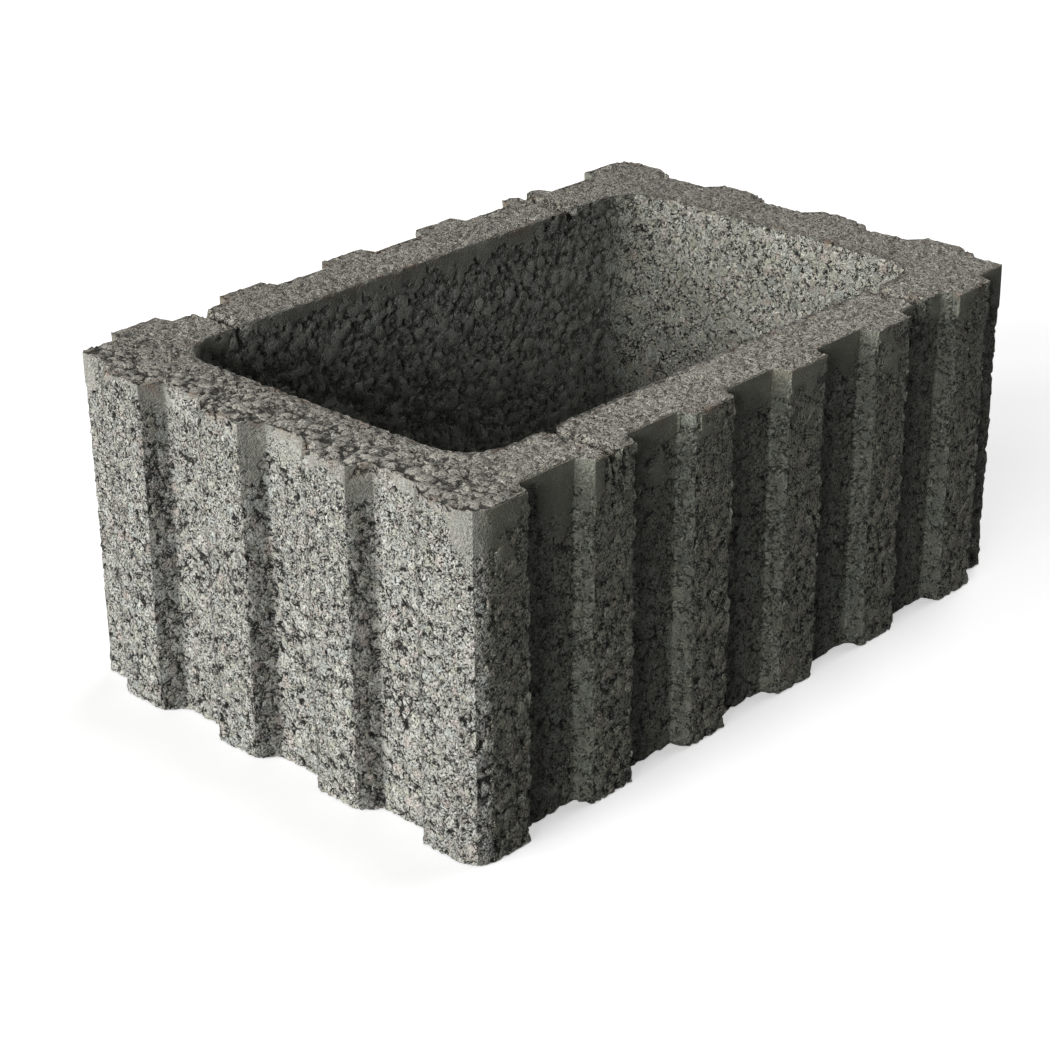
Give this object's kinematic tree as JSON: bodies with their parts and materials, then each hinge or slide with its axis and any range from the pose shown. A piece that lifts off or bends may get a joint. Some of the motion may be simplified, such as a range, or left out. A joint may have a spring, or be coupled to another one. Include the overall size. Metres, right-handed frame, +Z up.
{
  "type": "concrete planter block",
  "caption": "Rectangular open planter block of porous cast concrete, with vertical trapezoidal ribs round the outside, a rounded cavity and break marks over the rim.",
  "frame": {"origin": "middle of the base, on the surface that the block stands on", "axes": "+X along the length, +Y along the width, +Z up; the picture's near long side faces -Y and its near short side faces -X"},
  "size_m": [0.6, 0.4, 0.25],
  "materials": {
    "porous_concrete": "matte, open-pored no-fines concrete, smoother under the rim"
  },
  "bodies": {
    "root": {"planter_block": "porous_concrete"}
  },
  "joints": []
}
